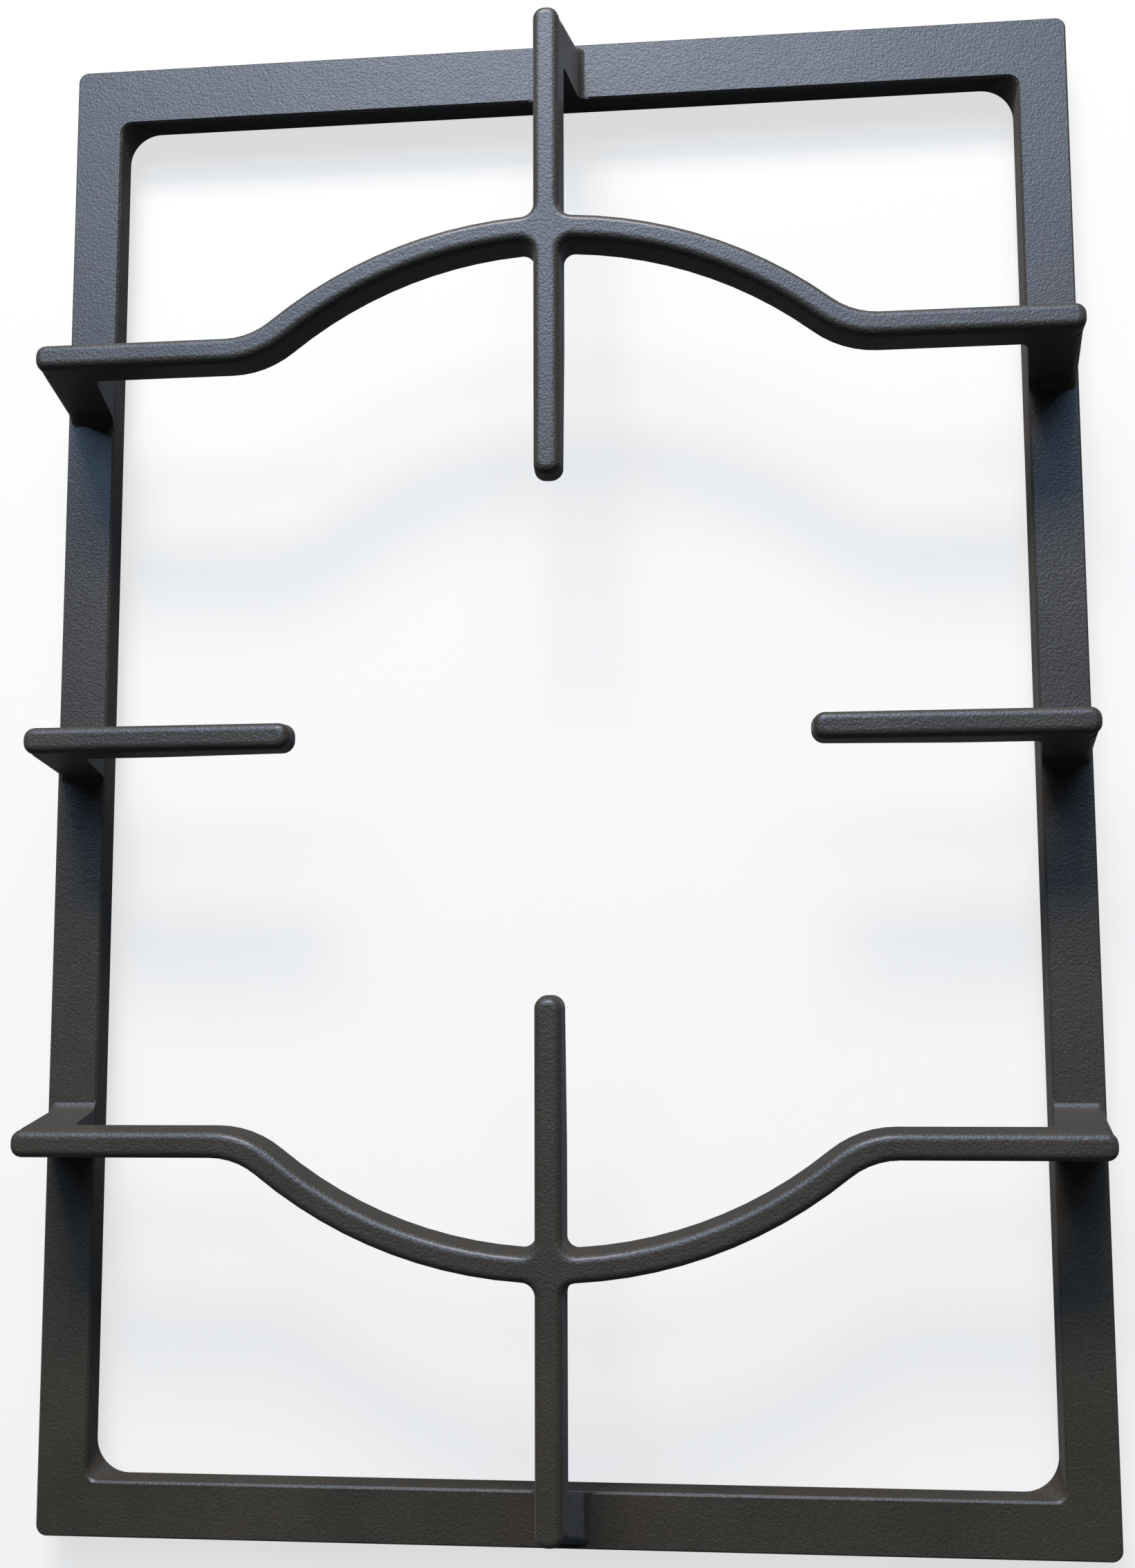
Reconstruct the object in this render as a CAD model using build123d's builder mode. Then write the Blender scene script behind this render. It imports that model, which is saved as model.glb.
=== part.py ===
"""Cast-iron pan support for a gas hob.

One casting: a flat rectangular frame on four corner feet, with raised ribs that carry
the pan. A wavy rib bows round the burner at the rear and at the front, a long finger
crosses each of them, and a short finger reaches in from each side.
The origin is on the surface that the feet stand on, under the middle of the frame.
X runs across the support, Y from front to rear, Z up. Sizes are in millimetres.
"""

import os
from math import acos, degrees, radians, sin, tan

from build123d import *

os.makedirs("parts", exist_ok=True)

# Frame
frame_width = 250.0
frame_depth = 363.6
frame_thickness = 5.2
side_bar_width = 12.0
rear_bar_width = 14.6
front_bar_width = 12.8
frame_corner_radius = 2.5
frame_edge_bevel = 0.5
window_corner_radius = 2.5
window_foot_radius = 8.0
window_draft = 0.3

# Feet under the frame's corners
foot_size = 10.4
foot_corner_bevel = 2.0
foot_inset = 0.8
foot_height = 5.0
foot_draft_angle = 5.0

# Ribs
rib_rise = 26.7
rib_thickness = 5.8
rib_depth = 7.2
rib_draft_angle = 4.5
rib_top_radius = 1.9
rib_end_radius = 2.4
finger_tip_depth = 5.4
crossing_radius = 3.2

# Places of the ribs, measured from the burner's centre
burner_offset = 3.0
burner_opening = 117.8
wave_run = 90.7
wave_apex = 117.0
wave_crown_radius = 101.0
wave_bend_radius = 20.0

# Gaps between the outer ends of the ribs and the outer edges of the frame
rib_side_inset = 4.4
rear_finger_inset = 8.2
front_finger_inset = 10.4

# Posts that carry the ribs on the frame: as wide as the bar at their root
post_inner_lean = 4.0
post_throat_radius = 2.5
post_root_radius = 2.6
post_edge_radius = 1.6

# Posts are sunk this deep into the ribs, and set this far inside the edges of the bars
post_sink = 2.5
post_step = 0.15

# Levels: a post's foot is deep enough in the bar to hold the rounding of its edges
frame_top = foot_height + frame_thickness
rib_top = frame_top + rib_rise
rib_underside = rib_top - rib_depth
tip_underside = rib_top - finger_tip_depth
post_foot = frame_top - 1.5 * post_edge_radius
post_root = frame_top - post_step
post_throat = rib_underside + post_step
post_head = rib_underside + post_sink

# Places that follow from the sizes above
half_width = frame_width / 2
half_depth = frame_depth / 2
side_bar_inner = half_width - side_bar_width
rear_bar_inner = half_depth - rear_bar_width
front_bar_inner = half_depth - front_bar_width
window_depth = rear_bar_inner + front_bar_inner
window_middle = (rear_bar_inner - front_bar_inner) / 2
foot_place = foot_inset + foot_size / 2

# A rib is wider and longer at its underside than at its top
draft = tan(radians(rib_draft_angle))
rib_spread = rib_depth * draft
half_rib = rib_thickness / 2 + rib_spread
end_radius = rib_end_radius + rib_spread
side_end = half_width - rib_side_inset + rib_spread
rear_finger_end = half_depth - rear_finger_inset + rib_spread - burner_offset
front_finger_end = half_depth - front_finger_inset + rib_spread + burner_offset
tip = burner_opening / 2 - rib_spread

# A post widens from its head under the rib down to its root
half_head = half_rib - post_sink * draft
half_root = half_rib + (rib_underside - post_root) * draft
half_base = half_root + post_root_radius

# The bend of a wavy rib touches its straight run and its crown arc
crown_centre = wave_apex - wave_crown_radius
bend_level = wave_run + wave_bend_radius
bend_reach = wave_crown_radius + wave_bend_radius
bend_angle = degrees(acos((bend_level - crown_centre) / bend_reach))
bend_centre = bend_reach * sin(radians(bend_angle))


def wave_edge(shift):
    """Draw one long edge of a wavy rib, moved outwards from the rib's middle by shift."""
    run = wave_run + shift
    bend = wave_bend_radius - shift
    Line((-side_end, run), (-bend_centre, run))
    CenterArc((-bend_centre, bend_level), bend, 270, bend_angle)
    CenterArc((0, crown_centre), wave_crown_radius + shift, 90 - bend_angle, 2 * bend_angle)
    CenterArc((bend_centre, bend_level), bend, 270 - bend_angle, bend_angle)
    Line((bend_centre, run), (side_end, run))


def post_section(middle):
    """Draw a post's cross-section about middle: a tapered wall on a broad foot."""
    Polyline(
        (middle - half_base, post_foot),
        (middle - half_base, post_root),
        (middle - half_root, post_root),
        (middle - half_head, post_head),
        (middle + half_head, post_head),
        (middle + half_root, post_root),
        (middle + half_base, post_root),
        (middle + half_base, post_foot),
        close=True,
    )


def post_outline(side, outer, inner, end):
    """Draw a post seen along its bar: from the bar's edges up to the rib, which ends at end."""
    throat = inner - post_step - post_inner_lean
    Polyline(
        (side * (outer - post_step), post_foot),
        (side * end, post_head),
        (side * (throat - 2 * post_throat_radius), post_head),
        (side * (throat - 2 * post_throat_radius), post_throat),
        (side * throat, post_throat),
        (side * (inner + post_step), post_root),
        (side * (inner + post_step), post_foot),
        close=True,
    )


# Ribs, drawn in plan on the level of their underside
with BuildPart() as ribs:
    # Rear wave with the finger that crosses it, then the same turned round for the front
    for facing, finger_end in ((1, rear_finger_end), (-1, front_finger_end)):
        with BuildSketch(Plane((0, burner_offset, rib_underside), x_dir=(facing, 0, 0))) as plan:
            with BuildLine():
                wave_edge(half_rib)
                wave_edge(-half_rib)
                for end in (-side_end, side_end):
                    Line((end, wave_run - half_rib), (end, wave_run + half_rib))
            make_face()
            fillet(plan.vertices().group_by(Axis.X)[0], end_radius)
            fillet(plan.vertices().group_by(Axis.X)[-1], end_radius)
            with Locations((0, (tip + finger_end) / 2)):
                RectangleRounded(2 * half_rib, finger_end - tip, end_radius)
            crossing_corners = [
                corner
                for corner in plan.vertices()
                if abs(corner.X) < 2 * half_rib and abs(corner.Y - wave_apex) < 2 * half_rib
            ]
            fillet(crossing_corners, crossing_radius - rib_spread)
            make_face(plan.edges(), mode=Mode.REPLACE)
        extrude(amount=rib_depth, taper=rib_draft_angle)
    # Short finger on each side
    for side in (-1, 1):
        with BuildSketch(Plane((0, burner_offset, rib_underside))):
            with Locations((side * (tip + side_end) / 2, 0)):
                RectangleRounded(side_end - tip, 2 * half_rib, end_radius)
        extrude(amount=rib_depth, taper=rib_draft_angle)
    fillet(ribs.faces().group_by(Axis.Z)[-1].edges(), rib_top_radius)
    # Fingers grow shallower from the waves towards their tips
    with BuildSketch(Plane.XZ.offset(-burner_offset)):
        with BuildLine():
            Polyline(
                (0, frame_top),
                (wave_run, frame_top),
                (wave_run, rib_underside),
                (tip, tip_underside),
                (0, tip_underside),
                close=True,
            )
        make_face()
    revolve(axis=Axis((0, burner_offset, 0), (0, 0, 1)), mode=Mode.SUBTRACT)

# Posts on the side bars, under the waves and the short fingers
with BuildPart() as side_posts:
    for place in (-wave_run, 0, wave_run):
        with BuildSketch(Plane.YZ) as section:
            with BuildLine():
                post_section(burner_offset + place)
            make_face()
            fillet(section.vertices().group_by(Axis.Y)[1].sort_by(Axis.X)[1:3], post_root_radius)
        extrude(amount=half_width, both=True)
    with BuildSketch(Plane.XZ) as outlines:
        for side in (-1, 1):
            with BuildLine():
                post_outline(side, half_width, side_bar_inner, half_width - rib_side_inset)
            make_face()
        throats = outlines.vertices().group_by(Axis.Y)[2].sort_by(Axis.X)
        fillet((throats[0], throats[-1]), post_throat_radius)
    extrude(amount=half_depth, both=True, mode=Mode.INTERSECT)
    slanted = side_posts.edges().filter_by(lambda edge: edge.bounding_box().size.Z > rib_rise / 2)
    from_middle = slanted.sort_by(lambda edge: abs(edge.center().X))
    fillet(from_middle[len(slanted) // 2 :], post_edge_radius)

# Posts on the rear and front bars, under the long fingers
with BuildPart() as end_posts:
    with BuildSketch(Plane.XZ) as section:
        with BuildLine():
            post_section(0)
        make_face()
        fillet(section.vertices().group_by(Axis.Y)[1].sort_by(Axis.X)[1:3], post_root_radius)
    extrude(amount=half_depth, both=True)
    with BuildSketch(Plane.YZ) as outlines:
        with BuildLine():
            post_outline(1, half_depth, rear_bar_inner, half_depth - rear_finger_inset)
        make_face()
        with BuildLine():
            post_outline(-1, half_depth, front_bar_inner, half_depth - front_finger_inset)
        make_face()
        throats = outlines.vertices().group_by(Axis.Y)[2].sort_by(Axis.X)
        fillet((throats[0], throats[-1]), post_throat_radius)
    extrude(amount=half_width, both=True, mode=Mode.INTERSECT)
    slanted = end_posts.edges().filter_by(lambda edge: edge.bounding_box().size.Z > rib_rise / 2)
    from_middle = slanted.sort_by(lambda edge: abs(edge.center().Y))
    fillet(from_middle[len(slanted) // 2 :], post_edge_radius)

# Window of the frame: below its bevelled rim it narrows slightly and its corners grow rounder
with BuildPart() as window:
    for level, inset, radius in (
        (frame_top, -frame_edge_bevel, window_corner_radius + frame_edge_bevel),
        (frame_top - frame_edge_bevel, 0, window_corner_radius),
        (foot_height, window_draft, window_foot_radius),
    ):
        with BuildSketch(Plane((0, window_middle, level))):
            RectangleRounded(2 * (side_bar_inner - inset), window_depth - 2 * inset, radius)
    loft(ruled=True)

with BuildPart() as pan_support:
    # Flat frame
    with BuildSketch(Plane.XY.offset(foot_height)):
        RectangleRounded(frame_width, frame_depth, frame_corner_radius)
    extrude(amount=frame_thickness)
    chamfer(pan_support.faces().sort_by(Axis.Z)[-1].edges(), frame_edge_bevel)
    add(window.part, mode=Mode.SUBTRACT)
    # Feet
    with BuildSketch(Plane((0, 0, foot_height), x_dir=(1, 0, 0), z_dir=(0, 0, -1))) as feet:
        with GridLocations(frame_width - 2 * foot_place, frame_depth - 2 * foot_place, 2, 2):
            Rectangle(foot_size, foot_size)
        chamfer(feet.vertices(), foot_corner_bevel)
    extrude(amount=foot_height, taper=foot_draft_angle)
    # Posts and ribs
    add(side_posts.part)
    add(end_posts.part)
    add(ribs.part)
pan_support.part.label = "pan_support"

export_step(pan_support.part, "parts/pan_support.step")
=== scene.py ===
from math import radians

import bpy
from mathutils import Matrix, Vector

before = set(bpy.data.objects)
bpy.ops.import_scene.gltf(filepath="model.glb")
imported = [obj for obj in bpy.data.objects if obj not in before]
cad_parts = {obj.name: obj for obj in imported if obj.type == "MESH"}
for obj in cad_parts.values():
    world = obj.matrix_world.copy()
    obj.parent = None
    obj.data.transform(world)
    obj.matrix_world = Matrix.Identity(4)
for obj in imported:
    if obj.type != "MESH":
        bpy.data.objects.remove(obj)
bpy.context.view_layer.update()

# Grain of the enamel: scales in waves per metre, relief in metres
pebble_scale = 1700.0
speck_scale = 2000.0
cloud_scale = 45.0
grain_detail = 2.0
grain_roughness = 0.6
noise_low = 0.3
noise_high = 0.7
relief_strength = 1.0
relief_height = 0.0002

# Colour and gloss of the enamel, with colours in linear light
body_dark = (0.050, 0.040, 0.0275, 1.0)
body_light = (0.072, 0.058, 0.0400, 1.0)
cloud_darkest = 0.88
cloud_lightest = 1.1
roughness_low = 0.43
roughness_high = 0.50
enamel_ior = 1.58
cool_reflection = (0.68, 0.79, 1.0, 1.0)
glaze_weight = 0.20
glaze_roughness = 0.15
sheen_weight = 0.15
sheen_roughness = 0.4
warm_sheen = (1.0, 0.94, 0.88, 1.0)

# Floor and surround: at a strength of 1 they are white to the camera
floor_size = 12.0
floor_grey = (0.12, 0.12, 0.12, 1.0)
floor_white = (1.0, 0.95, 0.87, 1.0)
floor_glow_share = 0.7
white_strength = 1.0
fill_strength = 0.035
surround_white = (1.0, 1.0, 1.0, 1.0)

# Camera: place in metres, turn about each axis in degrees
camera_place = (0.04005, -0.0479, 0.34153)
camera_turn = (5.222, 4.447, -0.403)


def add_node(tree, kind, **settings):
    """Add a shader node, setting its properties by name and its inputs by socket name."""
    node = tree.nodes.new(kind)
    for name, value in settings.items():
        if name in node.inputs:
            node.inputs[name].default_value = value
        else:
            setattr(node, name, value)
    return node


def new_material(name):
    """Make an empty node material with its output, and return it with its tree and output."""
    material = bpy.data.materials.new(name)
    material.use_nodes = True
    tree = material.node_tree
    tree.nodes.clear()
    return material, tree, tree.nodes.new("ShaderNodeOutputMaterial")


def grain(tree, place, scale):
    """Noise over the object's own coordinates, in waves per metre."""
    noise = add_node(
        tree, "ShaderNodeTexNoise", Scale=scale, Detail=grain_detail, Roughness=grain_roughness
    )
    tree.links.new(place.outputs["Object"], noise.inputs["Vector"])
    return noise.outputs["Fac"]


def spread(tree, value, low, high):
    """Map the middle of a noise's range to the range from low to high."""
    ranged = add_node(tree, "ShaderNodeMapRange")
    ranged.inputs["From Min"].default_value = noise_low
    ranged.inputs["From Max"].default_value = noise_high
    ranged.inputs["To Min"].default_value = low
    ranged.inputs["To Max"].default_value = high
    tree.links.new(value, ranged.inputs["Value"])
    return ranged.outputs["Result"]


def cast_iron_enamel():
    """Matt, almost black enamel over sand-cast iron: brown-black body with a fine pebbled grain."""
    material, tree, output = new_material("cast_iron_enamel")
    place = tree.nodes.new("ShaderNodeTexCoord")
    pebble = grain(tree, place, pebble_scale)
    speck = grain(tree, place, speck_scale)
    cloud = grain(tree, place, cloud_scale)

    tone = add_node(tree, "ShaderNodeMix", data_type="RGBA")
    tone.inputs["A"].default_value = body_dark
    tone.inputs["B"].default_value = body_light
    tree.links.new(spread(tree, speck, 0.0, 1.0), tone.inputs["Factor"])
    shade = add_node(tree, "ShaderNodeMix", data_type="RGBA", blend_type="MULTIPLY", Factor=1.0)
    tree.links.new(tone.outputs["Result"], shade.inputs["A"])
    tree.links.new(spread(tree, cloud, cloud_darkest, cloud_lightest), shade.inputs["B"])

    relief = add_node(tree, "ShaderNodeBump", Strength=relief_strength, Distance=relief_height)
    tree.links.new(pebble, relief.inputs["Height"])

    enamel = add_node(tree, "ShaderNodeBsdfPrincipled", IOR=enamel_ior)
    enamel.inputs["Specular Tint"].default_value = cool_reflection
    enamel.inputs["Coat Weight"].default_value = glaze_weight
    enamel.inputs["Coat Roughness"].default_value = glaze_roughness
    enamel.inputs["Sheen Weight"].default_value = sheen_weight
    enamel.inputs["Sheen Roughness"].default_value = sheen_roughness
    enamel.inputs["Sheen Tint"].default_value = warm_sheen
    roughness = spread(tree, pebble, roughness_low, roughness_high)
    tree.links.new(shade.outputs["Result"], enamel.inputs["Base Color"])
    tree.links.new(roughness, enamel.inputs["Roughness"])
    tree.links.new(relief.outputs["Normal"], enamel.inputs["Normal"])
    tree.links.new(enamel.outputs["BSDF"], output.inputs["Surface"])
    return material


def studio_floor():
    """Pale floor: near white to the camera, darker in what it throws back on the object."""
    material, tree, output = new_material("studio_floor")
    rays = tree.nodes.new("ShaderNodeLightPath")
    grey = add_node(tree, "ShaderNodeBsdfDiffuse", Color=floor_grey)
    white = add_node(tree, "ShaderNodeBsdfDiffuse", Color=floor_white)
    glow = add_node(tree, "ShaderNodeEmission", Strength=white_strength)
    pale = add_node(tree, "ShaderNodeMixShader", Fac=floor_glow_share)
    tree.links.new(white.outputs["BSDF"], pale.inputs[1])
    tree.links.new(glow.outputs["Emission"], pale.inputs[2])
    seen = tree.nodes.new("ShaderNodeMixShader")
    tree.links.new(rays.outputs["Is Camera Ray"], seen.inputs["Fac"])
    tree.links.new(grey.outputs["BSDF"], seen.inputs[1])
    tree.links.new(pale.outputs["Shader"], seen.inputs[2])
    tree.links.new(seen.outputs["Shader"], output.inputs["Surface"])
    return material


def studio_surround():
    """White surround to the camera, a faint fill light to the object."""
    world = bpy.data.worlds.new("studio_surround")
    world.use_nodes = True
    tree = world.node_tree
    tree.nodes.clear()
    rays = tree.nodes.new("ShaderNodeLightPath")
    strength = add_node(tree, "ShaderNodeMapRange")
    strength.inputs["To Min"].default_value = fill_strength
    strength.inputs["To Max"].default_value = white_strength
    tree.links.new(rays.outputs["Is Camera Ray"], strength.inputs["Value"])
    surround = add_node(tree, "ShaderNodeBackground", Color=surround_white)
    tree.links.new(strength.outputs["Result"], surround.inputs["Strength"])
    output = tree.nodes.new("ShaderNodeOutputWorld")
    tree.links.new(surround.outputs["Background"], output.inputs["Surface"])
    return world


def softbox(name, place, size, power, colour):
    """A rectangular area light that looks at the origin, under the middle of the support."""
    data = bpy.data.lights.new(name, "AREA")
    data.shape = "RECTANGLE"
    data.size, data.size_y = size
    data.energy = power
    data.color = colour
    light = bpy.data.objects.new(name, data)
    light.location = place
    light.rotation_euler = (-Vector(place)).to_track_quat("-Z", "Y").to_euler()
    bpy.context.collection.objects.link(light)


# The casting keeps its CAD mesh and takes the enamel
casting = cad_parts["pan_support"]
casting.data.materials.clear()
casting.data.materials.append(cast_iron_enamel())

# White floor that the feet stand on
bpy.ops.mesh.primitive_plane_add(size=floor_size, location=(0.0, 0.0, 0.0))
floor = bpy.context.object
floor.name = "studio_floor"
floor.data.materials.append(studio_floor())

# Warm light from behind, a broad cool one a little higher, and a faint even surround
softbox(
    "rear_key",
    place=(-0.12, 1.12, 0.78),
    size=(0.5, 0.3),
    power=16.5,
    colour=(1.0, 0.86, 0.72),
)
softbox(
    "sky_panel",
    place=(-0.10, 0.95, 0.95),
    size=(1.4, 1.0),
    power=19.5,
    colour=(0.45, 0.68, 1.0),
)
scene = bpy.context.scene
scene.world = studio_surround()
scene.view_settings.view_transform = "Standard"

# Camera close above the support, a little to the front and right of its middle
lens = bpy.data.cameras.new("camera")
lens.sensor_width = 36.0
lens.lens = 32.16
lens.shift_x = -0.0345
lens.shift_y = 0.0302
lens.clip_start = 0.01
camera = bpy.data.objects.new("camera", lens)
camera.location = camera_place
camera.rotation_euler = [radians(angle) for angle in camera_turn]
bpy.context.collection.objects.link(camera)
scene.camera = camera
